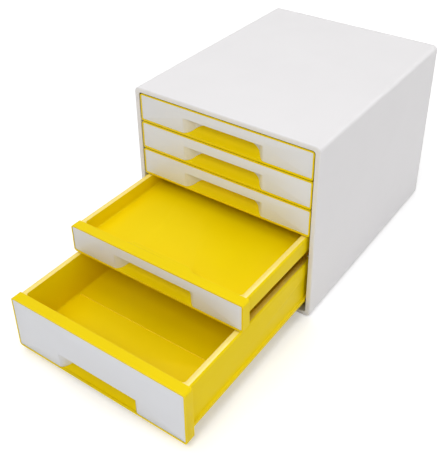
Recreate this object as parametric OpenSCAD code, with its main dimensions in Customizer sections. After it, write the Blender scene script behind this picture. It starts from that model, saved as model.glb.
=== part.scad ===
// Desktop cabinet with four small drawers above one tall drawer.
// Millimetres. +Z is up, +X is right, the fronts face -Y.
// The origin lies on the surface that the cabinet stands on, in the middle of the
// ground that the casing and its open drawers cover.

/* [Casing] */
// Width of the casing
casing_w = 287; // [270:1:320]
// Depth of the casing, without an open drawer
casing_d = 363; // [340:1:400]
// Wall thickness of the casing
casing_wall = 2.6; // [2:0.1:3.5]
// Radius of the casing's long edges
casing_r = 8; // [6:0.5:12]
// Rounding round the front of the casing
rim_round = 2; // [1:0.5:3]
// Width of the front rim beside the drawers
rim_side = 7.25; // [6:0.25:9]
// Height of the front rim below the lowest drawer
rim_bottom = 7; // [6:0.5:9]
// Height of the front rim above the top drawer
rim_top = 7.4; // [6:0.1:9]
// Depth of the front rim
rim_depth = 12; // [8:0.5:13]
// Corner radius of the opening in the front rim
opening_r = 4; // [3:0.5:5]

/* [Back cover] */
// Depth of the cover's outer flange
cover_depth = 8; // [7:0.5:12]
// Thickness of the cover's rear plate
cover_wall = 2.4; // [2:0.1:3.5]
// Rounding of the cover's rear edge
cover_round = 3.5; // [2:0.5:5]
// Length of the spigot that enters the casing
spigot_depth = 6; // [4:0.5:9]
// Wall thickness of the spigot
spigot_wall = 2; // [1.5:0.1:3]
// Margin round the cover's sunk field
field_margin = 14; // [10:1:30]
// Depth of the cover's sunk field
field_depth = 1; // [0.5:0.1:1.2]
// Corner radius of the cover's sunk field
field_r = 6; // [3:0.5:9]

/* [Feet] */
// Diameter of a foot
foot_d = 18; // [12:1:24]
// Thickness of a foot
foot_t = 2.4; // [2:0.1:2.8]
// How far a foot stands below the casing
foot_proud = 1; // [0.8:0.1:1.5]
// Distance from the casing's sides to a foot's middle
foot_inset = 24; // [18:1:40]
// Chamfer round a foot's lower edge
foot_chamfer = 0.4; // [0.2:0.1:0.6]

/* [Drawer fronts] */
// Height of a small drawer's front
small_front_h = 41.4; // [39:0.2:60]
// Height of the tall drawer's front
tall_front_h = 80; // [70:1:120]
// Thickness of a front
front_t = 14; // [13:0.5:16]
// Gap above, below and between the fronts
front_gap = 1.5; // [1:0.1:2]
// Gap beside the fronts
front_side_gap = 1.25; // [1:0.05:1.5]
// How far a closed front lies behind the casing's rim
front_recess = 1; // [0:0.1:2]
// Corner radius of a front
front_r = 3.5; // [3:0.1:3.5]
// Width of the frame's lip beside and above the face panel
lip_w = 2; // [1.4:0.1:2.2]
// Height of the frame's sill below the face panel and the scoop
sill_h = 3; // [2.4:0.1:3.2]
// Thickness of the face panel
face_t = 2.3; // [2:0.1:2.6]
// How far the face panel lies behind the lip
face_recess = 0.2; // [0.1:0.1:0.4]
// Thickness of the front frame's inner walls
frame_wall = 2; // [1.6:0.1:2.4]
// Width of the ledge that the face panel rests on
face_ledge = 2; // [1.5:0.1:3]
// Height of the frame's top bar over the tray's front wall
top_bar_h = 2; // [1.6:0.1:3]

/* [Finger recess] */
// Height of the recess's upper edge above the front's bottom
grip_h = 25.2; // [23:0.2:27]
// Half width at which the ramps leave the face panel
ramp_half_w = 64.5; // [62:0.5:70]
// Half width of the scoop between the ramps' inner ends
scoop_half_w = 44; // [38:0.5:45]
// Depth and radius of the scoop
scoop_depth = 15; // [13:0.5:15.5]
// Wall thickness of the ramps
ramp_wall = 1.4; // [1.2:0.1:1.5]
// How far the scoop climbs behind the face panel
grip_hook = 6; // [4:0.5:7]
// How far the scoop's housing bulges into the tray
bulge_depth = 6; // [5.5:0.1:7]
// Half width of the bulge where it begins
bulge_half_w = 54; // [53:0.5:57]
// Half width of the bulge where it is deepest
bulge_inner_w = 41; // [38:0.5:43]

/* [Trays] */
// Gap between a tray's side and the casing's opening
tray_side_gap = 4.25; // [4:0.05:4.5]
// Gap between a closed tray and the back cover's spigot
tray_rear_gap = 4; // [2:0.5:12]
// Height of a small drawer's tray
small_tray_h = 23; // [20:0.5:23]
// Height of the tall drawer's tray
tall_tray_h = 62.5; // [55:0.5:63]
// Width of the tray's rim
tray_rim_w = 8.3; // [7:0.1:10]
// Rounding of the rim's outer edge
rim_edge_r = 3; // [1:0.5:3]
// Wall thickness of a tray
tray_wall = 2; // [1.6:0.1:2.4]
// Radius of the tray's outer upright corners
tray_r = 6; // [4:0.5:8]
// Radius of the tray's inner upright corners
well_r = 4; // [3:0.5:6]
// Rounding between the tray's floor and its walls
well_round = 3; // [2:0.5:4]
// Width of the tall tray's outer ledge
flange_w = 3; // [2:0.1:3.2]
// Height of the tall tray's outer ledge
flange_h = 5; // [3:0.5:6]
// Radius of the cove above the outer ledge
flange_cove_r = 2.6; // [1:0.1:2.8]
// Distance from the front's face to the first floor ridge of the tall tray
ridge_y = 98; // [60:1:140]
// Distance between the floor ridges
ridge_pitch = 110; // [80:5:120]
// Number of floor ridges
ridge_count = 2; // [1:1:2]
// Width and height of a floor ridge
ridge_size = 1; // [0.6:0.1:1.5]

/* [Runners and stops] */
// Thickness of the runner panels
runner_t = 2; // [1.6:0.1:3]
// Thickness of the ledges and guide ribs
ledge_t = 2; // [1.6:0.1:2.2]
// How far the ledges reach in under the trays
ledge_reach = 6; // [4:0.5:7]
// Height of the side guides above the ledges
guide_h = 4; // [3:0.5:5]
// Play between a tray and the side guides
guide_play = 0.5; // [0.3:0.1:0.8]
// Distance that a drawer travels between its stops
travel = 275; // [200:5:275]
// Length of the stop tab at a tray's rear
stop_len = 8; // [6:0.5:12]
// How far the stop tab stands out of the tray
stop_out = 3.5; // [2.5:0.1:3.8]
// Height of the stop tab
stop_h = 8; // [5:0.5:8]
// Distance from the tray's rim down to the stop tab
stop_drop = 4; // [4:0.5:6]
// Play between the tray's side and the stop block
stop_play = 1; // [0.5:0.1:1.5]

/* [Clearances] */
// Gap between pieces that slide past each other
slide_gap = 0.3; // [0.3:0.05:0.5]
// Gap round pieces that are fitted together
fit_gap = 0.15; // [0.1:0.05:0.2]

/* [Open drawers] */
// How far drawer 4 stands open
open_4 = 150; // [0:5:200]
// How far drawer 5 stands open
open_5 = 260; // [0:5:270]

/* [Colours] */
// Colour of the casing and the face panels
white_colour = "whitesmoke"; // [whitesmoke, gainsboro, silver]
// Colour of the trays and the front frames
yellow_colour = "gold"; // [gold, orange, khaki]
// Colour of the runner panels
runner_colour = "gainsboro"; // [gainsboro, silver, whitesmoke]
// Colour of the feet
rubber_colour = "dimgray"; // [dimgray, gray, black]

/* [Hidden] */
$fn = 64;
eps = 0.01;
overcut = 1;
drawer_count = 5;
drawer_ids = [1 : drawer_count];
tall_id = drawer_count;
sides = ["left", "right"];
ends = ["front", "rear"];

// Casing
open_reach = max(0, max(open_4, open_5) - front_recess);
middle_y = open_reach / 2;
front_y = middle_y - casing_d / 2;
rear_y = middle_y + casing_d / 2;
under_z = foot_proud;
open_z = under_z + rim_bottom;
open_w = casing_w - 2 * rim_side;
open_h = (drawer_count - 1) * small_front_h + tall_front_h + (drawer_count + 1) * front_gap;
casing_h = rim_bottom + open_h + rim_top;
top_z = under_z + casing_h;
middle_z = under_z + casing_h / 2;
inner_w = casing_w - 2 * casing_wall;
inner_h = casing_h - 2 * casing_wall;
inner_r = casing_r - casing_wall;
joint_y = rear_y - cover_depth;
spigot_y = joint_y - spigot_depth;

// Drawers: a drawer's own frame has y = 0 on its face and z = 0 at its front's bottom
closed_y = front_y + front_recess;
front_w = open_w - 2 * front_side_gap;
tray_w = open_w - 2 * tray_side_gap;
tray_d = spigot_y - tray_rear_gap - closed_y - front_t;
well_w = tray_w - 2 * tray_rim_w;
tray_end_y = front_t + tray_d;
well_end_y = tray_end_y - tray_rim_w;
tray_front_y = front_t - tray_wall;
face_back_y = face_recess + face_t;
web_y = tray_front_y - frame_wall;
stop_z_span = stop_drop + stop_h;
stop_tab_y = tray_end_y - tray_r - stop_len;
arc_z = sill_h + scoop_depth;
hook_z = grip_h + grip_hook;
ledge_edge = lip_w + face_ledge;
ledge_z = sill_h + face_ledge;
under_sill = sill_h / 2;

function is_tall(i) = i == tall_id;
function front_h(i) = is_tall(i) ? tall_front_h : small_front_h;
function tray_h(i) = is_tall(i) ? tall_tray_h : small_tray_h;
function housing_h(i) = is_tall(i) ? hook_z + frame_wall : front_h(i);
function open_by(i) = is_tall(i) ? open_5 : i == tall_id - 1 ? open_4 : 0;
function front_z(i) = is_tall(i)
    ? open_z + front_gap
    : open_z + 2 * front_gap + tall_front_h + (tall_id - 1 - i) * (small_front_h + front_gap);
function rim_z(i) = front_z(i) + front_h(i);
function tray_z(i) = front_h(i) - tray_h(i);
function flange(i) = is_tall(i) ? flange_w : 0;

// A smooth step from 0 to 1
function ease(t) = t <= 0 ? 0 : t >= 1 ? 1 : (1 - cos(180 * t)) / 2;
// Depth of the recess's ramps at a distance x from the middle
function ramp_y(x) = scoop_depth * ease((ramp_half_w - abs(x)) / (ramp_half_w - scoop_half_w));
// Rear of the scoop's housing at a distance x from the middle
function bulge_y(x) = front_t + bulge_depth * ease((bulge_half_w - abs(x)) / (bulge_half_w - bulge_inner_w));

curve_steps = 12;
function spread(a, b) = [for (k = [0 : curve_steps]) a + (b - a) * k / curve_steps];
ramp_xs_left = spread(-ramp_half_w, -scoop_half_w);
ramp_xs_right = spread(scoop_half_w, ramp_half_w);
bulge_xs = concat(spread(-bulge_half_w, -bulge_inner_w), spread(bulge_inner_w, bulge_half_w));

// A rectangle with rounded corners, about its middle
module rounded_rect(w, h, r) {
    square([w - 2 * r, h], center = true);
    square([w, h - 2 * r], center = true);
    for (x = [-1, 1])
        for (y = [-1, 1])
            translate([x * (w / 2 - r), y * (h / 2 - r)])
                circle(r = r);
}

// Extrudes a profile drawn in X and Z, from y to y + length
module along_y(y, length) {
    translate([0, y + length, 0])
        rotate([90, 0, 0])
            linear_extrude(length)
                children();
}

// Extrudes a profile drawn in Y and Z, from x to x + length
module along_x(x, length) {
    translate([x, 0, 0])
        rotate([90, 0, 90])
            linear_extrude(length)
                children();
}

// A block given by its lowest and highest corners
module block(low, high) {
    translate(low)
        cube(high - low);
}

// The casing's cross-section, shrunk by d on every side
module casing_section(d) {
    translate([0, middle_z])
        rounded_rect(casing_w - 2 * d, casing_h - 2 * d, casing_r - d);
}

// The casing's whole outer form, with its front and rear edges rounded by r
module casing_form(r) {
    intersection() {
        along_y(front_y, casing_d)
            casing_section(0);
        translate([0, middle_y, 0])
            linear_extrude(top_z + under_z)
                rounded_rect(casing_w, casing_d, r);
        along_x(-casing_w / 2, casing_w)
            translate([middle_y, middle_z])
                rounded_rect(casing_d, casing_h, r);
    }
}

// Where a foot's middle lies
function foot_pos(e, s) = [
    (s == "left" ? -1 : 1) * (casing_w / 2 - foot_inset),
    e == "front" ? front_y + foot_inset : rear_y - foot_inset,
    0
];

module casing_shell() {
    color(white_colour)
    difference() {
        casing_form(rim_round);
        block([-casing_w, joint_y, -eps], [casing_w, rear_y + overcut, 2 * top_z]);
        along_y(front_y + rim_depth, casing_d)
            casing_section(casing_wall);
        along_y(front_y - eps, rim_depth + 2 * eps)
            translate([0, open_z + open_h / 2])
                rounded_rect(open_w, open_h, opening_r);
        for (e = ends)
            for (s = sides)
                translate(foot_pos(e, s))
                    cylinder(d = foot_d + 2 * fit_gap, h = foot_t + eps);
    }
}

module back_cover() {
    color(white_colour)
    difference() {
        union() {
            intersection() {
                casing_form(cover_round);
                block([-casing_w, joint_y, -eps], [casing_w, rear_y + overcut, 2 * top_z]);
            }
            along_y(spigot_y, spigot_depth + eps)
                casing_section(casing_wall + fit_gap);
        }
        along_y(spigot_y - eps, rear_y - cover_wall - field_depth - spigot_y + eps)
            casing_section(casing_wall + fit_gap + spigot_wall);
        along_y(rear_y - field_depth, field_depth + eps)
            translate([0, middle_z])
                rounded_rect(casing_w - 2 * field_margin, casing_h - 2 * field_margin, field_r);
    }
}

// The runner panel on the right; the left one is its mirror image
module runner() {
    wall_x = inner_w / 2 - fit_gap - runner_t;
    ledge_x = tray_w / 2 - ledge_reach;
    start_y = closed_y + front_t + slide_gap;
    end_y = spigot_y - fit_gap;
    stop_y = closed_y + stop_tab_y - travel - slide_gap;
    along_y(start_y, end_y - start_y)
        intersection() {
            casing_section(casing_wall + fit_gap);
            translate([wall_x, 0])
                square([runner_t + fit_gap, top_z]);
        }
    for (i = drawer_ids) {
        rest_z = front_z(i) + tray_z(i) - slide_gap;
        rib_z = rim_z(i) + slide_gap;
        guide_x = tray_w / 2 + flange(i) + guide_play;
        block([ledge_x, start_y, rest_z - ledge_t], [wall_x + eps, end_y, rest_z]);
        block([guide_x, start_y, rest_z - eps], [wall_x + eps, end_y, rest_z + guide_h]);
        block([ledge_x, start_y, rib_z], [wall_x + eps, end_y, rib_z + ledge_t]);
        block([tray_w / 2 + stop_play, stop_y - stop_len, rim_z(i) - stop_z_span],
              [wall_x + eps, stop_y, rim_z(i) - stop_drop]);
    }
}

module runner_right() {
    color(runner_colour)
        runner();
}

module runner_left() {
    color(runner_colour)
        mirror([1, 0, 0])
            runner();
}

module foot(e, s) {
    color(rubber_colour)
        translate(foot_pos(e, s))
            rotate_extrude()
                polygon([
                    [0, 0],
                    [foot_d / 2 - foot_chamfer, 0],
                    [foot_d / 2, foot_chamfer],
                    [foot_d / 2, foot_t],
                    [0, foot_t]
                ]);
}

// A front's outline in X and Z
module front_outline(i) {
    translate([0, front_h(i) / 2])
        rounded_rect(front_w, front_h(i), front_r);
}

// The face panel's outline in X and Z, shrunk by d
module panel_outline(i, d) {
    top = front_h(i) - lip_w;
    translate([0, (sill_h + top) / 2])
        rounded_rect(front_w - 2 * (lip_w + d), top - sill_h - 2 * d, front_r - lip_w - d);
}

// Plan of the recess, from the face back to the scoop; its ramps are moved back by d
module ramp_plan(d) {
    polygon(concat(
        [[-ramp_half_w, -overcut]],
        [for (x = ramp_xs_left) [x, ramp_y(x) + d]],
        [[-scoop_half_w, scoop_depth], [scoop_half_w, scoop_depth]],
        [for (x = ramp_xs_right) [x, ramp_y(x) + d]],
        [[ramp_half_w, -overcut]]
    ));
}

// Side view of the scoop: an arc up from the sill, then a straight wall;
// d deepens the wall, and lift raises the arc
module scoop_section(d, lift) {
    intersection() {
        translate([0, arc_z])
            circle(r = scoop_depth - lift);
        square([scoop_depth, arc_z]);
    }
    translate([0, arc_z - eps])
        square([scoop_depth + d, hook_z - arc_z + eps]);
}

// The hollow of the finger recess; d moves its ramps and its straight wall back
module recess(d, lift = 0) {
    intersection() {
        linear_extrude(hook_z)
            ramp_plan(d);
        along_x(-ramp_half_w, 2 * ramp_half_w)
            scoop_section(d, lift);
    }
}

// What is left open below the scoop's curved wall, in side view
module under_scoop() {
    difference() {
        translate([frame_wall, -eps])
            square([front_t + bulge_depth, arc_z]);
        translate([0, arc_z])
            circle(r = scoop_depth + frame_wall);
    }
}

// The scoop's housing in plan, from the face panel to its rear, grown by d
module housing_plan(d) {
    w = bulge_half_w + frame_wall + d;
    polygon(concat(
        [[-w, face_back_y], [-w, front_t + d]],
        [for (x = bulge_xs) [x, bulge_y(x) + d]],
        [[w, front_t + d], [w, face_back_y]]
    ));
}

// The yellow front frame: lip, ring, web and scoop
module frame(i) {
    h = front_h(i);
    difference() {
        union() {
            difference() {
                along_y(0, front_t)
                    front_outline(i);
                along_y(-eps, face_back_y + eps)
                    panel_outline(i, 0);
                block([-front_w / 2 + ledge_edge, face_back_y - eps, ledge_z],
                      [front_w / 2 - ledge_edge, web_y, h - ledge_edge]);
                block([-tray_w / 2 - fit_gap, tray_front_y, ledge_z],
                      [tray_w / 2 + fit_gap, front_t + eps, h - top_bar_h]);
            }
            translate([0, 0, sill_h])
                linear_extrude(housing_h(i) - sill_h)
                    housing_plan(0);
            block([-ramp_half_w - frame_wall, face_back_y, sill_h - eps],
                  [ramp_half_w + frame_wall, web_y + eps, hook_z + frame_wall]);
            block([-ramp_half_w + ramp_wall, 0, under_sill], [ramp_half_w - ramp_wall, front_t, ledge_z]);
        }
        recess(ramp_wall);
        if (!is_tall(i))
            translate([0, 0, hook_z + frame_wall])
                linear_extrude(h - ledge_edge - hook_z - frame_wall)
                    housing_plan(-frame_wall);
        along_x(-bulge_half_w, 2 * bulge_half_w)
            under_scoop();
    }
}

// The white face panel with the ramps of its finger recess
module face(i) {
    difference() {
        along_y(face_recess, face_t)
            panel_outline(i, fit_gap);
        block([-ramp_half_w, -eps, 0], [ramp_half_w, front_t, grip_h]);
    }
    difference() {
        intersection() {
            recess(ramp_wall - fit_gap, fit_gap);
            block([-ramp_half_w, face_recess, sill_h + fit_gap],
                  [ramp_half_w, front_t + bulge_depth, grip_h + face_t]);
        }
        linear_extrude(front_h(i))
            ramp_plan(0);
        block([-scoop_half_w, -eps, 0], [scoop_half_w, front_t + bulge_depth, front_h(i)]);
    }
}

// The tray's outer block: round rear corners, and a rounded edge round the rim
module tray_block(i) {
    h = front_h(i);
    intersection() {
        block([-tray_w / 2, tray_front_y, tray_z(i)], [tray_w / 2, tray_end_y, h]);
        translate([0, tray_end_y / 2, 0])
            linear_extrude(h)
                rounded_rect(tray_w, tray_end_y, tray_r);
        along_y(0, tray_end_y)
            translate([0, h / 2])
                rounded_rect(tray_w, h, rim_edge_r);
        along_x(-tray_w / 2, tray_w)
            translate([tray_end_y / 2, h / 2])
                rounded_rect(tray_end_y, h, rim_edge_r);
    }
}

// The tray's well: round upright corners and a rounded floor
module well(i) {
    floor_z = tray_z(i) + tray_wall;
    length = well_end_y - front_t;
    mid_y = front_t + length / 2;
    rise = front_h(i) - floor_z + well_round + overcut;
    intersection() {
        translate([0, mid_y, floor_z])
            linear_extrude(rise)
                rounded_rect(well_w, length, well_r);
        along_y(front_t, length)
            translate([0, floor_z + rise / 2])
                rounded_rect(well_w, rise, well_round);
        along_x(-well_w / 2, well_w)
            translate([mid_y, floor_z + rise / 2])
                rounded_rect(length, rise, well_round);
    }
}

// The hollow between a tray's double walls, open below
module wall_hollow(i) {
    outer_w = tray_w - 2 * tray_wall;
    inner_hw = well_w / 2 + tray_wall;
    low_z = tray_z(i) - eps;
    high_z = front_h(i) - tray_wall;
    side_y = front_t + tray_wall;
    for (x = [-outer_w / 2, inner_hw])
        translate([x, side_y, low_z])
            cube([outer_w / 2 - inner_hw, tray_end_y - tray_r - side_y, high_z - low_z]);
    block([-inner_hw + tray_r, well_end_y + tray_wall, low_z],
          [inner_hw - tray_r, tray_end_y - tray_wall, high_z]);
}

// The tall tray's outer ledge on the right, with its cove
module flange_right(i) {
    z = tray_z(i);
    x = tray_w / 2;
    cove_z = z + flange_h + flange_cove_r;
    along_y(front_t, tray_d - tray_r)
        difference() {
            translate([x - eps, z])
                square([flange_w + eps, flange_h + flange_cove_r - eps]);
            translate([x + flange_cove_r, cove_z])
                circle(r = flange_cove_r);
            translate([x + flange_cove_r, z + flange_h])
                square([flange_w, flange_cove_r]);
        }
}

// The yellow tray with its rims, double walls and stop tabs
module tray(i) {
    h = front_h(i);
    difference() {
        union() {
            tray_block(i);
            if (flange(i) > 0) {
                flange_right(i);
                mirror([1, 0, 0])
                    flange_right(i);
            }
            block([-tray_w / 2 - stop_out, stop_tab_y, h - stop_z_span],
                  [tray_w / 2 + stop_out, stop_tab_y + stop_len, h - stop_drop]);
        }
        well(i);
        wall_hollow(i);
        block([-tray_w / 2 - eps, tray_front_y - eps, h - top_bar_h - fit_gap],
              [tray_w / 2 + eps, front_t, h + eps]);
        translate([0, 0, -eps])
            linear_extrude(housing_h(i) + fit_gap)
                housing_plan(fit_gap);
    }
    if (is_tall(i))
        for (k = [0 : ridge_count - 1])
            translate([0, ridge_y + k * ridge_pitch, tray_z(i) + tray_wall + ridge_size / 2 - eps])
                cube([well_w - 2 * well_round, ridge_size, ridge_size], center = true);
}

// Puts a drawer's piece where its drawer stands
module placed(i) {
    translate([0, closed_y - open_by(i), front_z(i)])
        children();
}

module drawer_tray(i) {
    color(yellow_colour)
        placed(i)
            tray(i);
}

module drawer_frame(i) {
    color(yellow_colour)
        placed(i)
            frame(i);
}

module drawer_face(i) {
    color(white_colour)
        placed(i)
            face(i);
}

casing_shell();
back_cover();
runner_left();
runner_right();
for (e = ends)
    for (s = sides)
        foot(e, s);
for (i = drawer_ids) {
    drawer_tray(i);
    drawer_frame(i);
    drawer_face(i);
}
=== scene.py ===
# Desktop cabinet with five sliding drawers, dressed for its picture, in metres and the model's frame.
import math

import bmesh
import bpy
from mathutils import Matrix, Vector


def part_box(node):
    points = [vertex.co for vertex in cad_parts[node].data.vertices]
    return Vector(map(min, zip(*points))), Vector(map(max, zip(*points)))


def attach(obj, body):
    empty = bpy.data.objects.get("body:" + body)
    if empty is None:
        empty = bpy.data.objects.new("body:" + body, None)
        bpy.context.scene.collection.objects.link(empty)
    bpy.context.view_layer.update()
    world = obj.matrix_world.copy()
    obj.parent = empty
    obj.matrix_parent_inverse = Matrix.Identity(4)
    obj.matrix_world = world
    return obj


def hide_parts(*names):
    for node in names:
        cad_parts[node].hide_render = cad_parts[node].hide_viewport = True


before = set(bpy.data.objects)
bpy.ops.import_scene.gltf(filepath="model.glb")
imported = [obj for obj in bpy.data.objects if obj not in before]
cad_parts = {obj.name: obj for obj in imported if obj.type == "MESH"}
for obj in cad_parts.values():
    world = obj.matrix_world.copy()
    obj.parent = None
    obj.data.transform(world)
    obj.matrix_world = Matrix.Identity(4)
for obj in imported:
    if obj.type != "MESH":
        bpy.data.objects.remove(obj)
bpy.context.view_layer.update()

MM = 0.001


def box_mm(node):
    """A node's lowest and highest corners in the model, in millimetres."""
    return [[round(value / MM, 3) for value in corner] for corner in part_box(node)]


# ---------------------------------------------------------------- sizes, in millimetres

# Read from the model
SHELL_LOWEST, SHELL_HIGHEST = box_mm("casing_shell")
COVER_LOWEST, COVER_HIGHEST = box_mm("back_cover")
CASING_FRONT, CASING_LOW = SHELL_LOWEST[1:]
CASING_HALF_W, JOINT_Y, CASING_HIGH = SHELL_HIGHEST
SPIGOT_FRONT, CASING_REAR = COVER_LOWEST[1], COVER_HIGHEST[1]
DRAWERS = range(1, 6)
FRONT_PLACE = {i: box_mm("drawer_%d_frame" % i)[0][1:] for i in DRAWERS}  # front y, underside z

# The casing, the rim round its opening and the cover behind
CASING_R, CASING_WALL = 8.0, 2.6
RIM_SIDE, RIM_BOTTOM, RIM_TOP, RIM_DEPTH = 7.25, 7.0, 7.4, 12.0
OPENING_R, OPENING_ROUND, RIM_ROUND = 4.0, 0.8, 2.0
JOINT_CHAMFER, FIT_GAP = 0.4, 0.15
COVER_ROUND, COVER_WALL, SPIGOT_WALL = 3.5, 2.4, 2.0
FIELD_MARGIN, FIELD_DEPTH, FIELD_R, FIELD_ROUND = 14.0, 1.0, 6.0, 0.5

# The feet: radius, thickness, chamfer, and how far their middles stand in from the casing's sides
FOOT_R, FOOT_T, FOOT_CHAMFER, FOOT_INSET = 9.0, 2.4, 0.4, 24.0

# The finger recess: the ramps run from the outer half width in to the scoop's, over a sill
RAMP_HALF_W, SCOOP_HALF_W, SCOOP_DEPTH, SILL_H = 64.5, 44.0, 15.0, 3.0
ARC_Z = SILL_H + SCOOP_DEPTH

# The shield in a recess, to either side of its middle: where it ends, where it is flush with the ramp,
# where its lower edge meets the ramp, and where that edge turns level
SHIELD_HALF_W, SHIELD_FLUSH, SHIELD_MEETS, SHIELD_LEVEL = 53.0, 51.0, 50.0, 34.0
# Its heights over the front's underside: the edge where it meets the ramp and where it is level, the top
SHIELD_LOW, SHIELD_EDGE, SHIELD_HIGH = 9.0, 15.7, 27.0
# How far it stands off the scoop, the width over which it comes down from there, and its thickness
SHIELD_PROUD, SHIELD_DIP, SHIELD_WALL = 0.3, 3.0, 0.6
SHIELD_ROWS, SHIELD_MIDDLE_COLUMNS = 16, [24.0, 12.0]

# Rounding of the drawers' edges, and the width of face that counts as a tray's rim and takes its painted
# reflection
EDGE_ROUND, RIM_BAND = 0.6, 0.3
RIM_UP = 0.95  # a rim's face points at least this much upwards

# How finely the curves are cut, and the angle past which an edge is sharp, in degrees
CORNER_STEPS, ROUND_STEPS, FOOT_SIDES, SHARP_ANGLE = 8, 5, 48, 32
LEAST_R = 0.1


def linear(colour):
    """An sRGB hex colour as the linear RGBA that Blender's sockets take."""
    parts = [int(colour[k:k + 2], 16) / 255 for k in (1, 3, 5)]
    return tuple(c / 12.92 if c <= 0.04045 else ((c + 0.055) / 1.055) ** 2.4 for c in parts) + (1.0,)


def add_node(tree, kind, settings=None, inputs=None):
    """Adds a node, with its settings, and fills its inputs with values or with other nodes' outputs."""
    node = tree.nodes.new(kind)
    for name, value in (settings or {}).items():
        setattr(node, name, value)
    for key, value in (inputs or {}).items():
        if isinstance(value, bpy.types.NodeSocket):
            tree.links.new(value, node.inputs[key])
        else:
            node.inputs[key].default_value = value
    return node


# ---------------------------------------------------------------- materials

# A colour mix's sockets go by number, because their names repeat: the factor and the two colours
FACTOR, FIRST, SECOND = 0, 6, 7
COLOURS = {"data_type": "RGBA"}
# How often each pattern repeats in a metre: clouds of 62 mm, rubbed patches of 25 mm, bloom of 3 mm.
# The mould's eroded grain is 0.15 mm in the real plastic and is drawn at 0.9 mm, so that it shows
CLOUDS_PER_M, PATCHES_PER_M, BLOOM_PER_M, PITS_PER_M = 16.0, 40.0, 350.0, 1100.0
PIT_DEPTH, BLOOM_DEPTH = 0.1, 0.2
# Width of the edges' lighter band (wear and painted highlight) and reach of the painted shade in gaps,
# in millimetres
WEAR_AND_SHEEN_WIDTH, PAINTED_SHADE_REACH = 0.8, 3.0
PLASTIC_IOR = 1.53  # ABS and polystyrene both lie near this


def moulded_plastic(name, colour, tone, wear_and_sheen, painted_shade, roughness, grain,
                    gleam=0.5, coat=0.0, reach=PAINTED_SHADE_REACH):
    """Injection-moulded plastic: clouds of tone from the melt's flow, a fine grain, edges lighter from
    wear and a painted highlight, painted shade in gaps.
    """
    material = bpy.data.materials.new(name)
    material.use_nodes = True
    tree = material.node_tree
    shader = tree.nodes["Principled BSDF"]
    place = add_node(tree, "ShaderNodeTexCoord").outputs["Object"]
    # The melt's flow leaves wide clouds, barely darker than the rest
    clouds = add_node(tree, "ShaderNodeTexNoise", None,
                      {"Vector": place, "Scale": CLOUDS_PER_M, "Detail": 3.0})
    body = add_node(tree, "ShaderNodeMix", COLOURS,
                    {FACTOR: clouds.outputs["Fac"], FIRST: linear(colour), SECOND: linear(tone)})
    # Edges are painted lighter: partly wear where handling has polished them, partly a painted highlight
    soft = add_node(tree, "ShaderNodeBevel", {"samples": 4}, {"Radius": WEAR_AND_SHEEN_WIDTH * MM})
    flat = add_node(tree, "ShaderNodeNewGeometry").outputs["Normal"]
    turn = add_node(tree, "ShaderNodeVectorMath", {"operation": "DOT_PRODUCT"},
                    {0: soft.outputs["Normal"], 1: flat})
    edge = add_node(tree, "ShaderNodeMapRange", None,
                    {"Value": turn.outputs["Value"], "From Min": 0.99, "From Max": 0.80,
                     "To Min": 0.0, "To Max": 0.55})
    colours = add_node(tree, "ShaderNodeMix", COLOURS,
                       {FACTOR: edge.outputs[0], FIRST: body.outputs[2], SECOND: linear(wear_and_sheen)})
    # Painted shade: gaps no wider than the reach are darkened towards the shade colour, as where shadow
    # falls
    open_sky = add_node(tree, "ShaderNodeAmbientOcclusion", {"samples": 8}, {"Distance": reach * MM})
    gap = add_node(tree, "ShaderNodeMapRange", None,
                   {"Value": open_sky.outputs["AO"], "From Min": 0.6, "From Max": 0.2,
                    "To Min": 0.0, "To Max": 0.85})
    painted_shade_mix = add_node(tree, "ShaderNodeMix", COLOURS,
                       {FACTOR: gap.outputs[0], FIRST: colours.outputs[2], SECOND: linear(painted_shade)})
    tree.links.new(painted_shade_mix.outputs[2], shader.inputs["Base Color"])
    # The mould's eroded grain keeps the highlights soft
    pits = add_node(tree, "ShaderNodeTexNoise", None,
                    {"Vector": place, "Scale": PITS_PER_M, "Detail": 2.0})
    bump = add_node(tree, "ShaderNodeBump", None,
                    {"Strength": grain, "Distance": PIT_DEPTH * MM, "Height": pits.outputs["Fac"]})
    tree.links.new(bump.outputs["Normal"], shader.inputs["Normal"])
    # Handling rubs patches a little smoother
    rubbed = add_node(tree, "ShaderNodeTexNoise", None,
                      {"Vector": place, "Scale": PATCHES_PER_M, "Detail": 4.0})
    rough = add_node(tree, "ShaderNodeMapRange", None,
                     {"Value": rubbed.outputs["Fac"], "From Min": 0.3, "From Max": 0.7,
                      "To Min": roughness - 0.04, "To Max": roughness + 0.05})
    tree.links.new(rough.outputs[0], shader.inputs["Roughness"])
    shader.inputs["IOR"].default_value = PLASTIC_IOR
    shader.inputs["Specular IOR Level"].default_value = gleam
    shader.inputs["Coat Weight"].default_value = coat
    shader.inputs["Coat Roughness"].default_value = 0.15
    return material


def moulded_rubber(name, colour, tone):
    """Soft moulded rubber: dull, with a bloom of dust."""
    material = bpy.data.materials.new(name)
    material.use_nodes = True
    tree = material.node_tree
    shader = tree.nodes["Principled BSDF"]
    place = add_node(tree, "ShaderNodeTexCoord").outputs["Object"]
    dust = add_node(tree, "ShaderNodeTexNoise", None,
                    {"Vector": place, "Scale": BLOOM_PER_M, "Detail": 5.0})
    body = add_node(tree, "ShaderNodeMix", COLOURS,
                    {FACTOR: dust.outputs["Fac"], FIRST: linear(colour), SECOND: linear(tone)})
    tree.links.new(body.outputs[2], shader.inputs["Base Color"])
    bump = add_node(tree, "ShaderNodeBump", None,
                    {"Strength": 0.3, "Distance": BLOOM_DEPTH * MM, "Height": dust.outputs["Fac"]})
    tree.links.new(bump.outputs["Normal"], shader.inputs["Normal"])
    shader.inputs["Roughness"].default_value = 0.8
    return material


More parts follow.
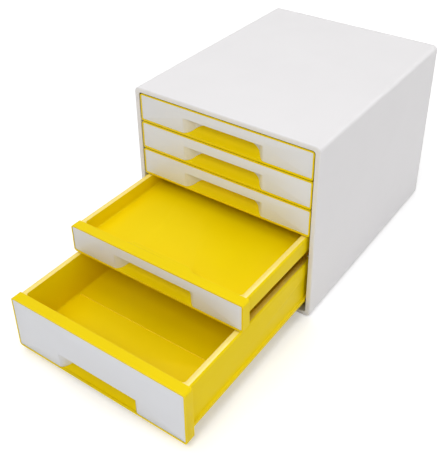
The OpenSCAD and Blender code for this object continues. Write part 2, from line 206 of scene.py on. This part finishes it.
# In each plastic below, the third colour lightens the edges, partly as wear and partly as a painted
# highlight, and the fourth is painted shade laid in narrow gaps
# Satin-moulded ABS: an even, faintly warm white whose grain spreads the highlights
WHITE = moulded_plastic("white ABS, satin moulded", colour="#EBE9EA", tone="#E7E5E6", wear_and_sheen="#F4F4F4",
                        painted_shade="#9E9EA2", roughness=0.38, grain=0.12)
# The same plastic, a little cooler and smoother; painted shade turns the gaps round it olive
PANEL = moulded_plastic("white ABS panel, satin moulded", colour="#E8E9ED", tone="#E4E5E9",
                        wear_and_sheen="#F6F6F6", painted_shade="#A2A294", roughness=0.36, grain=0.12)
# Dyed polystyrene: a deep yellow that keeps its colour, because little light comes off its surface
YELLOW = moulded_plastic("yellow polystyrene, moulded", colour="#F6DA00", tone="#F2D400",
                         wear_and_sheen="#FFE45A", painted_shade="#6E5A00", roughness=0.38, grain=0.08, gleam=0.1)
# The trays' rims, glossy from the mould: their pale colour is a painted reflection of the bright
# surround, and under another drawer painted shade turns them a deeper yellow
RIM_WITH_PAINTED_REFLECTION = moulded_plastic("yellow polystyrene rim, painted reflection and shade", colour="#FFE87C", tone="#FFE46E",
                      wear_and_sheen="#FFF2B4", painted_shade="#E6BC00", roughness=0.20, grain=0.03, coat=0.6, reach=60.0)
# Plain moulded ABS inside the casing: a dull light grey
RUNNER = moulded_plastic("grey ABS runner, moulded", colour="#C9C9CA", tone="#C2C2C4", wear_and_sheen="#D8D8D8",
                         painted_shade="#77777A", roughness=0.45, grain=0.15)
RUBBER = moulded_rubber("black rubber, moulded", colour="#2B2B2B", tone="#3B3A38")


# ---------------------------------------------------------------- mesh building

def shrunk(outline, d):
    """A rounded rectangle's half width, lowest and highest height and corner radius, moved in by d."""
    half_w, low, high, radius = outline
    return half_w - d, low + d, high - d, max(radius - d, LEAST_R)


def rounded_edge(outline, d0, d1, y0, y1):
    """Rows over a rounded edge, from a side that runs in depth to a face that stands across it."""
    rows = []
    for step in range(ROUND_STEPS + 1):
        a = math.radians(90 * step / ROUND_STEPS)
        inwards = d0 + (d1 - d0) * (1 - math.cos(a))
        rows.append((shrunk(outline, inwards), y0 + (y1 - y0) * math.sin(a)))
    return rows


def finish_mesh(bm, name):
    """Turns bmesh data into an object with outward faces, smooth but for its sharp edges."""
    bmesh.ops.recalc_face_normals(bm, faces=bm.faces)
    mesh = bpy.data.meshes.new(name)
    bm.to_mesh(mesh)
    bm.free()
    for face in mesh.polygons:
        face.use_smooth = True
    mesh.set_sharp_from_angle(angle=math.radians(SHARP_ANGLE))
    piece = bpy.data.objects.new(name, mesh)
    bpy.context.scene.collection.objects.link(piece)
    return piece


def evaluated(piece):
    """Replaces a piece's modifiers by the mesh that they make."""
    bpy.context.view_layer.update()
    depsgraph = bpy.context.evaluated_depsgraph_get()
    mesh = bpy.data.meshes.new_from_object(piece.evaluated_get(depsgraph))
    piece.modifiers.clear()
    piece.data = mesh
    return piece


def casing_tree():
    """Lays a rounded rectangle round the cabinet at each row of the given profile, and joins them."""
    tree = bpy.data.node_groups.new("rounded rectangle swept in depth", "GeometryNodeTree")
    for name, kind in (("Profile", "NodeSocketGeometry"), ("Rows", "NodeSocketInt"),
                       ("Sections", "NodeSocketInt"), ("Corner Steps", "NodeSocketInt"),
                       ("Material", "NodeSocketMaterial")):
        tree.interface.new_socket(name, in_out="INPUT", socket_type=kind)
    tree.interface.new_socket("Geometry", in_out="OUTPUT", socket_type="NodeSocketGeometry")
    given = add_node(tree, "NodeGroupInput").outputs

    # Points round a ring: each corner has its steps and one more, and the last point closes the ring
    each = add_node(tree, "ShaderNodeMath", {"operation": "ADD"},
                    {0: given["Corner Steps"], 1: 1.0}).outputs[0]
    around = add_node(tree, "ShaderNodeMath", {"operation": "MULTIPLY"}, {0: each, 1: 4.0}).outputs[0]
    wrapped = add_node(tree, "ShaderNodeMath", {"operation": "ADD"}, {0: around, 1: 1.0}).outputs[0]
    sheet = add_node(tree, "GeometryNodeMeshGrid", None,
                     {"Vertices X": given["Sections"], "Vertices Y": wrapped})

    # From a point's index, its row in the profile and its place round the ring
    index = add_node(tree, "GeometryNodeInputIndex").outputs[0]
    ratio = add_node(tree, "ShaderNodeMath", {"operation": "DIVIDE"}, {0: index, 1: wrapped}).outputs[0]
    section = add_node(tree, "ShaderNodeMath", {"operation": "FLOOR"}, {0: ratio}).outputs[0]
    row = add_node(tree, "ShaderNodeMath", {"operation": "MODULO"},
                   {0: section, 1: given["Rows"]}).outputs[0]
    place = add_node(tree, "ShaderNodeMath", {"operation": "MODULO"}, {0: index, 1: wrapped}).outputs[0]
    place = add_node(tree, "ShaderNodeMath", {"operation": "MODULO"}, {0: place, 1: around}).outputs[0]

    # From its place, the corner that it belongs to and its angle round that corner
    ratio = add_node(tree, "ShaderNodeMath", {"operation": "DIVIDE"}, {0: place, 1: each}).outputs[0]
    corner = add_node(tree, "ShaderNodeMath", {"operation": "FLOOR"}, {0: ratio}).outputs[0]
    step = add_node(tree, "ShaderNodeMath", {"operation": "MODULO"}, {0: place, 1: each}).outputs[0]
    part = add_node(tree, "ShaderNodeMath", {"operation": "DIVIDE"},
                    {0: step, 1: given["Corner Steps"]}).outputs[0]
    turned = add_node(tree, "ShaderNodeMath", {"operation": "ADD"}, {0: corner, 1: part}).outputs[0]
    angle = add_node(tree, "ShaderNodeMath", {"operation": "MULTIPLY"},
                     {0: turned, 1: math.pi / 2}).outputs[0]
    middle = add_node(tree, "ShaderNodeMath", {"operation": "ADD"}, {0: corner, 1: 0.5}).outputs[0]
    middle = add_node(tree, "ShaderNodeMath", {"operation": "MULTIPLY"},
                      {0: middle, 1: math.pi / 2}).outputs[0]

    # The profile's points hold the half width, the depth and the middle height of each row
    spot = add_node(tree, "GeometryNodeInputPosition").outputs[0]
    size = add_node(tree, "GeometryNodeSampleIndex", {"data_type": "FLOAT_VECTOR"},
                    {"Geometry": given["Profile"], "Value": spot, "Index": row}).outputs[0]
    size = add_node(tree, "ShaderNodeSeparateXYZ", None, {0: size}).outputs
    kept = {}
    for name in ("half_height", "corner_radius"):
        value = add_node(tree, "GeometryNodeInputNamedAttribute", {"data_type": "FLOAT"},
                         {"Name": name}).outputs[0]
        kept[name] = add_node(tree, "GeometryNodeSampleIndex", {"data_type": "FLOAT"},
                              {"Geometry": given["Profile"], "Value": value, "Index": row}).outputs[0]

    # Across and up: the corner's middle, and from there the radius at the point's angle
    ends = []
    for half, wave in ((size["X"], "COSINE"), (kept["half_height"], "SINE")):
        side = add_node(tree, "ShaderNodeMath", {"operation": wave}, {0: middle}).outputs[0]
        side = add_node(tree, "ShaderNodeMath", {"operation": "SIGN"}, {0: side}).outputs[0]
        flat = add_node(tree, "ShaderNodeMath", {"operation": "SUBTRACT"},
                        {0: half, 1: kept["corner_radius"]}).outputs[0]
        flat = add_node(tree, "ShaderNodeMath", {"operation": "MULTIPLY"}, {0: flat, 1: side}).outputs[0]
        bend = add_node(tree, "ShaderNodeMath", {"operation": wave}, {0: angle}).outputs[0]
        ends.append(add_node(tree, "ShaderNodeMath", {"operation": "MULTIPLY_ADD"},
                             {0: bend, 1: kept["corner_radius"], 2: flat}).outputs[0])
    height = add_node(tree, "ShaderNodeMath", {"operation": "ADD"},
                      {0: ends[1], 1: size["Z"]}).outputs[0]
    point = add_node(tree, "ShaderNodeCombineXYZ", None,
                     {"X": ends[0], "Y": size["Y"], "Z": height}).outputs[0]
    moved = add_node(tree, "GeometryNodeSetPosition", None,
                     {"Geometry": sheet.outputs["Mesh"], "Position": point})
    closed = add_node(tree, "GeometryNodeMergeByDistance", None,
                      {"Geometry": moved.outputs[0], "Distance": 1e-6})
    real = add_node(tree, "GeometryNodeRealizeInstances", None, {"Geometry": closed.outputs[0]})
    done = add_node(tree, "GeometryNodeSetMaterial", None,
                    {"Geometry": real.outputs[0], "Material": given["Material"]})
    add_node(tree, "NodeGroupOutput", None, {"Geometry": done.outputs[0]})
    return tree


def foot_tree():
    """One rubber foot, chamfered and dished below, put at each corner of the cabinet's underside."""
    tree = bpy.data.node_groups.new("rubber feet on a grid", "GeometryNodeTree")
    for name, kind in (("Radius", "NodeSocketFloat"), ("Thickness", "NodeSocketFloat"),
                       ("Chamfer", "NodeSocketFloat"), ("Span X", "NodeSocketFloat"),
                       ("Span Y", "NodeSocketFloat"), ("Middle", "NodeSocketVector"),
                       ("Material", "NodeSocketMaterial")):
        tree.interface.new_socket(name, in_out="INPUT", socket_type=kind)
    tree.interface.new_socket("Geometry", in_out="OUTPUT", socket_type="NodeSocketGeometry")
    given = add_node(tree, "NodeGroupInput").outputs
    wall = add_node(tree, "ShaderNodeMath", {"operation": "SUBTRACT"},
                    {0: given["Thickness"], 1: given["Chamfer"]})
    body = add_node(tree, "GeometryNodeMeshCylinder", None,
                    {"Vertices": FOOT_SIDES, "Radius": given["Radius"], "Depth": wall.outputs[0]})
    foot, below = body.outputs["Mesh"], body.outputs["Bottom"]
    # The chamfer, then a flat ring that stands on the desk, then the dish's slope, each as a drop in
    # chamfers and the share of the width that is left
    for drop, width in ((1.0, 0.95), (0.0, 0.80), (-0.6, 0.90)):
        offset = add_node(tree, "ShaderNodeMath", {"operation": "MULTIPLY"},
                          {0: given["Chamfer"], 1: drop})
        drawn = add_node(tree, "GeometryNodeExtrudeMesh", {"mode": "FACES"},
                         {"Mesh": foot, "Selection": below, "Offset Scale": offset.outputs[0]})
        narrowed = add_node(tree, "GeometryNodeScaleElements", {"domain": "FACE"},
                            {"Geometry": drawn.outputs["Mesh"], "Selection": drawn.outputs["Top"],
                             "Scale": width})
        foot, below = narrowed.outputs[0], drawn.outputs["Top"]
    corners = add_node(tree, "GeometryNodeMeshGrid", None,
                       {"Size X": given["Span X"], "Size Y": given["Span Y"],
                        "Vertices X": 2, "Vertices Y": 2})
    spread = add_node(tree, "GeometryNodeInstanceOnPoints", None,
                      {"Points": corners.outputs["Mesh"], "Instance": foot})
    placed = add_node(tree, "GeometryNodeTransform", None,
                      {"Geometry": spread.outputs[0], "Translation": given["Middle"]})
    real = add_node(tree, "GeometryNodeRealizeInstances", None, {"Geometry": placed.outputs[0]})
    done = add_node(tree, "GeometryNodeSetMaterial", None,
                    {"Geometry": real.outputs[0], "Material": given["Material"]})
    add_node(tree, "NodeGroupOutput", None, {"Geometry": done.outputs[0]})
    return tree


def grown(name, start, tree, inputs):
    """A plain, closed mesh that a Geometry Nodes tree makes from a starting mesh."""
    piece = bpy.data.objects.new(name, start)
    bpy.context.scene.collection.objects.link(piece)
    maker = piece.modifiers.new("maker", "NODES")
    maker.node_group = tree
    for socket in tree.interface.items_tree:
        if socket.in_out == "INPUT" and socket.name in inputs:
            maker[socket.identifier] = inputs[socket.name]
    evaluated(piece)
    bm = bmesh.new()
    bm.from_mesh(piece.data)
    bmesh.ops.holes_fill(bm, edges=[edge for edge in bm.edges if edge.is_boundary])
    bmesh.ops.recalc_face_normals(bm, faces=bm.faces)
    bm.to_mesh(piece.data)
    bm.free()
    piece.data.materials.clear()
    piece.data.materials.append(inputs["Material"])
    for face in piece.data.polygons:
        face.use_smooth = True
        face.material_index = 0
    piece.data.set_sharp_from_angle(angle=math.radians(SHARP_ANGLE))
    return piece


# ---------------------------------------------------------------- the casing and its feet

CASING_TREE = casing_tree()
CASING = (CASING_HALF_W, CASING_LOW, CASING_HIGH, CASING_R)
OPENING = (CASING_HALF_W - RIM_SIDE, CASING_LOW + RIM_BOTTOM, CASING_HIGH - RIM_TOP, OPENING_R)
FIELD = shrunk(CASING, FIELD_MARGIN)[:3] + (FIELD_R,)


def casing_skin(name, rows, closes):
    """A skin over rows of rounded rectangles; it closes on itself, or its ends are filled."""
    middles, halves, radii = [], [], []
    for (half_w, low, high, radius), y in rows:
        middles.append((half_w * MM, y * MM, (low + high) / 2 * MM))
        halves.append((high - low) / 2 * MM)
        radii.append(radius * MM)
    profile = bpy.data.meshes.new(name + "_profile")
    profile.from_pydata(middles, [], [])
    for kept, values in (("half_height", halves), ("corner_radius", radii)):
        profile.attributes.new(kept, "FLOAT", "POINT").data.foreach_set("value", values)
    sections = len(rows) + (1 if closes else 0)
    return grown(name, profile, CASING_TREE,
                 {"Rows": len(rows), "Sections": sections, "Corner Steps": CORNER_STEPS,
                  "Material": WHITE})


def casing_shell():
    """Top, sides and underside in one, with the rounded rim round the drawers."""
    inner = shrunk(CASING, CASING_WALL)
    rim_rear = CASING_FRONT + RIM_DEPTH
    rows = [(shrunk(CASING, JOINT_CHAMFER), JOINT_Y), (CASING, JOINT_Y - JOINT_CHAMFER)]
    rows += rounded_edge(CASING, 0, RIM_ROUND, CASING_FRONT + RIM_ROUND, CASING_FRONT)
    rows += rounded_edge(shrunk(OPENING, -OPENING_ROUND), OPENING_ROUND, 0,
                         CASING_FRONT + OPENING_ROUND, CASING_FRONT)[::-1]
    rows += [(OPENING, rim_rear), (inner, rim_rear), (inner, JOINT_Y)]
    return casing_skin("casing_shell_skin", rows, True)


def back_cover():
    """The cap behind, with its rounded edge, its sunk field and the spigot that holds it in place."""
    spigot = shrunk(CASING, CASING_WALL + FIT_GAP)
    hollow = shrunk(spigot, SPIGOT_WALL)
    field_y = CASING_REAR - FIELD_DEPTH
    rows = [(hollow, field_y - COVER_WALL), (hollow, SPIGOT_FRONT), (spigot, SPIGOT_FRONT),
            (spigot, JOINT_Y)]
    rows += [(shrunk(CASING, JOINT_CHAMFER), JOINT_Y), (CASING, JOINT_Y + JOINT_CHAMFER)]
    rows += rounded_edge(CASING, 0, COVER_ROUND, CASING_REAR - COVER_ROUND, CASING_REAR)
    rows += rounded_edge(shrunk(FIELD, -FIELD_ROUND), FIELD_ROUND, 0,
                         CASING_REAR - FIELD_ROUND, CASING_REAR)[::-1]
    rows += [(FIELD, field_y)]
    return casing_skin("back_cover_skin", rows, False)


def feet():
    """The four rubber feet, made as one mesh."""
    span_x = 2 * (CASING_HALF_W - FOOT_INSET)
    span_y = CASING_REAR - CASING_FRONT - 2 * FOOT_INSET
    middle = (0.0, (CASING_FRONT + CASING_REAR) / 2 * MM, (FOOT_T + FOOT_CHAMFER) / 2 * MM)
    return grown("feet", bpy.data.meshes.new("feet_start"), foot_tree(),
                 {"Radius": FOOT_R * MM, "Thickness": FOOT_T * MM, "Chamfer": FOOT_CHAMFER * MM,
                  "Span X": span_x * MM, "Span Y": span_y * MM, "Middle": middle, "Material": RUBBER})


for piece, nodes, slot in (
    (casing_shell(), ("casing_shell",), "white_plastic"),
    (back_cover(), ("back_cover",), "white_plastic"),
    (feet(), ("foot_front_left", "foot_front_right", "foot_rear_left", "foot_rear_right"),
     "foot_rubber"),
):
    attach(piece, "casing")
    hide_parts(*nodes)

for side in ("left", "right"):
    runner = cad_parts["runner_" + side]
    runner.data.materials.clear()
    runner.data.materials.append(RUNNER)


# ---------------------------------------------------------------- the drawers

def finished_copy(node, name):
    """A merged copy of a model's solid, with its flat faces whole again and its sharp edges rounded."""
    bm = bmesh.new()
    bm.from_mesh(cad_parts[node].data)
    bmesh.ops.remove_doubles(bm, verts=bm.verts, dist=2e-6)
    bmesh.ops.dissolve_limit(bm, angle_limit=math.radians(0.3), verts=bm.verts, edges=bm.edges)
    limit = math.radians(SHARP_ANGLE)
    sharp = [edge for edge in bm.edges if len(edge.link_faces) == 2 and edge.calc_face_angle() > limit]
    bmesh.ops.bevel(bm, geom=sharp, offset=EDGE_ROUND * MM, offset_type="OFFSET", segments=2,
                    profile=0.5, affect="EDGES", clamp_overlap=True)
    return finish_mesh(bm, name)


def recess_shield(i):
    """The white wall behind a finger recess, which leaves the yellow scoop round upper corners."""
    front_y, front_z = FRONT_PLACE[i]
    left = [SHIELD_HALF_W - step for step in range(int(SHIELD_HALF_W - SHIELD_LEVEL) + 1)]
    left += SHIELD_MIDDLE_COLUMNS
    bm = bmesh.new()
    columns = []
    for x in left + [0.0] + [-x for x in left[::-1]]:
        # The lower edge is level in the middle, and falls to either side to where it meets the ramp
        beside = max(0.0, abs(x) - SHIELD_LEVEL) / (SHIELD_MEETS - SHIELD_LEVEL)
        low = SHIELD_EDGE - (SHIELD_EDGE - SHIELD_LOW) * beside ** 2
        # The ramp eases from the front's face down to the scoop's depth
        turn = (RAMP_HALF_W - max(abs(x), SCOOP_HALF_W)) / (RAMP_HALF_W - SCOOP_HALF_W)
        ramp = SCOOP_DEPTH * (0.5 - 0.5 * math.cos(math.pi * turn))
        # At its ends the shield dips under the ramp's surface, which hides them
        over = (SHIELD_FLUSH - abs(x)) / SHIELD_DIP
        proud = SHIELD_PROUD * max(-1.0, min(1.0, over))
        column = []
        for step in range(SHIELD_ROWS + 1):
            z = low + (SHIELD_HIGH - low) * step / SHIELD_ROWS
            arc = math.sqrt(SCOOP_DEPTH ** 2 - max(0.0, ARC_Z - z) ** 2)
            y = front_y + min(arc, ramp) - proud
            column.append(bm.verts.new(Vector((x, y, front_z + z)) * MM))
        columns.append(column)
    for a, b in zip(columns, columns[1:]):
        for k in range(SHIELD_ROWS):
            bm.faces.new((a[k], b[k], b[k + 1], a[k + 1]))
    shield = finish_mesh(bm, "drawer_%d_recess_shield" % i)
    wall = shield.modifiers.new("wall", "SOLIDIFY")
    wall.thickness = SHIELD_WALL * MM
    wall.offset = -1.0 if shield.data.polygons[0].normal.y < 0 else 1.0
    return evaluated(shield)


for i in DRAWERS:
    for part, material, slot in (("tray", YELLOW, "yellow_plastic"), ("frame", YELLOW, "yellow_plastic"),
                                 ("face", PANEL, "face_plastic")):
        node = "drawer_%d_%s" % (i, part)
        piece = finished_copy(node, node + "_skin")
        piece.data.materials.append(material)
        if part == "tray":
            piece.data.materials.append(RIM_WITH_PAINTED_REFLECTION)
            # Faces that point up along the tray's top take the rim's pale colour, a painted reflection,
            # with painted shade where another drawer covers them
            top = max(corner[2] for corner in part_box(node))
            for face in piece.data.polygons:
                if face.normal.z > RIM_UP and face.center.z > top - RIM_BAND * MM:
                    face.material_index = 1
        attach(piece, "drawer_%d" % i)
        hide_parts(node)
    shield = recess_shield(i)
    shield.data.materials.append(PANEL)
    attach(shield, "drawer_%d" % i)


# ---------------------------------------------------------------- floor, light and camera, in metres

FLOOR_HALF_W = 6.0
# The floor's own light for the camera: near the cabinet, at the surround, and where the change runs
NEAR_GLOW, FAR_GLOW, GLOW_FROM, GLOW_TO = 0.30, 1.0, 0.6, 1.8
CLEAR_REACH = 0.004
# The surround's strength on surfaces, and where it is seen, mirrored or looked through
SURROUND_LIGHT, SURROUND_SEEN = 0.43, 1.0
# Each lamp's name, place, aim, width and power in watts
LAMPS = (
    ("overhead lamp", (-0.3, 0.1, 2.5), (0, 0, 0.1), 2.0, 19.0),
    ("key lamp", (0.25, -1.5, 2.0), (0, -0.1, 0.15), 0.9, 17.0),
    ("side lamp", (2.3, -0.1, 0.6), (0, 0, 0.15), 1.0, 4.5),
    ("edge lamp", (1.25, 2.05, 1.08), (0, 0.1, 0.25), 1.2, 9.0),
    ("gleam lamp", (1.42, 1.68, 1.24), (0, 0.1, 0.25), 1.2, 7.0),
)


def floor_material():
    """A plain pale floor: white for the camera, with the cabinet's shadow kept, and clear from below."""
    material = bpy.data.materials.new("pale matt floor")
    material.use_nodes = True
    tree = material.node_tree
    shader = tree.nodes["Principled BSDF"]
    shader.inputs["Roughness"].default_value = 0.9
    path = add_node(tree, "ShaderNodeLightPath").outputs
    seen = path["Is Camera Ray"]
    colour = add_node(tree, "ShaderNodeMix", COLOURS,
                      {FACTOR: seen, FIRST: linear("#F0F0F0"), SECOND: linear("#F3F3F3")})
    tree.links.new(colour.outputs[2], shader.inputs["Base Color"])
    # Away from the cabinet the floor turns into the white surround, so that no horizon shows
    place = add_node(tree, "ShaderNodeTexCoord").outputs["Object"]
    far = add_node(tree, "ShaderNodeVectorMath", {"operation": "LENGTH"}, {0: place}).outputs["Value"]
    lifted = add_node(tree, "ShaderNodeMapRange", {"interpolation_type": "SMOOTHSTEP"},
                      {"Value": far, "From Min": GLOW_FROM, "From Max": GLOW_TO,
                       "To Min": NEAR_GLOW, "To Max": FAR_GLOW})
    glow = add_node(tree, "ShaderNodeMath", {"operation": "MULTIPLY"}, {0: lifted.outputs[0], 1: seen})
    shader.inputs["Emission Color"].default_value = (1.0, 1.0, 1.0, 1.0)
    tree.links.new(glow.outputs[0], shader.inputs["Emission Strength"])
    # The surround lights what stands 1 mm above the floor, so that the underside isn't black from below
    near = add_node(tree, "ShaderNodeMath", {"operation": "LESS_THAN"},
                    {0: path["Ray Length"], 1: CLEAR_REACH})
    below = add_node(tree, "ShaderNodeNewGeometry").outputs["Backfacing"]
    away = add_node(tree, "ShaderNodeMath", {"operation": "MAXIMUM"}, {0: near.outputs[0], 1: below})
    clear = add_node(tree, "ShaderNodeBsdfTransparent").outputs[0]
    either = add_node(tree, "ShaderNodeMixShader", None,
                      {0: away.outputs[0], 1: shader.outputs[0], 2: clear})
    tree.links.new(either.outputs[0], tree.nodes["Material Output"].inputs["Surface"])
    return material


def studio():
    """The floor, a white surround, and lamps overhead, in front, beside, and behind for the edges."""
    floor = bpy.data.meshes.new("floor")
    corners = ((-1, -1), (1, -1), (1, 1), (-1, 1))
    floor.from_pydata([(x * FLOOR_HALF_W, y * FLOOR_HALF_W, 0) for x, y in corners], [], [(0, 1, 2, 3)])
    floor.materials.append(floor_material())
    floor_piece = bpy.data.objects.new("floor", floor)
    bpy.context.scene.collection.objects.link(floor_piece)

    world = bpy.data.worlds.new("studio")
    bpy.context.scene.world = world
    world.use_nodes = True
    tree = world.node_tree
    surround = tree.nodes["Background"]
    path = add_node(tree, "ShaderNodeLightPath").outputs
    seen = add_node(tree, "ShaderNodeMath", {"operation": "MAXIMUM"},
                    {0: path["Is Camera Ray"], 1: path["Is Glossy Ray"]})
    shown = add_node(tree, "ShaderNodeMath", {"operation": "MAXIMUM"},
                     {0: seen.outputs[0], 1: path["Is Transmission Ray"]})
    strength = add_node(tree, "ShaderNodeMapRange", None,
                        {"Value": shown.outputs[0], "From Min": 0.0, "From Max": 1.0,
                         "To Min": SURROUND_LIGHT, "To Max": SURROUND_SEEN})
    tree.links.new(strength.outputs[0], surround.inputs["Strength"])
    surround.inputs["Color"].default_value = (1.0, 1.0, 1.0, 1.0)

    for name, place, aim, width, power in LAMPS:
        lamp = bpy.data.lights.new(name, "AREA")
        lamp.shape = "SQUARE"
        lamp.size = width
        lamp.energy = power
        holder = bpy.data.objects.new(name, lamp)
        holder.location = place
        # The gleam lamp only shows as a reflection, along the casing's upper right edge, and the edge
        # lamp has none
        holder.visible_diffuse = name != "gleam lamp"
        holder.visible_glossy = name != "edge lamp"
        holder.visible_camera = False
        holder.rotation_euler = (Vector(aim) - Vector(place)).to_track_quat("-Z", "Y").to_euler()
        bpy.context.scene.collection.objects.link(holder)
    bpy.context.scene.view_settings.view_transform = "Standard"


def camera():
    """The camera, solved from the cabinet's corners in the photograph."""
    lens = bpy.data.cameras.new("photograph_camera")
    lens.lens = 58.21
    lens.shift_x = -0.0324
    lens.shift_y = -0.1544
    lens.clip_start, lens.clip_end = 0.01, 30.0
    holder = bpy.data.objects.new("photograph_camera", lens)
    holder.location = (0.48294, -0.72287, 0.72218)
    yaw, pitch = -0.60241, -0.56094
    ahead = Vector((math.sin(yaw) * math.cos(pitch), math.cos(yaw) * math.cos(pitch), math.sin(pitch)))
    holder.rotation_euler = ahead.to_track_quat("-Z", "Y").to_euler()
    bpy.context.scene.collection.objects.link(holder)
    bpy.context.scene.camera = holder


studio()
camera()
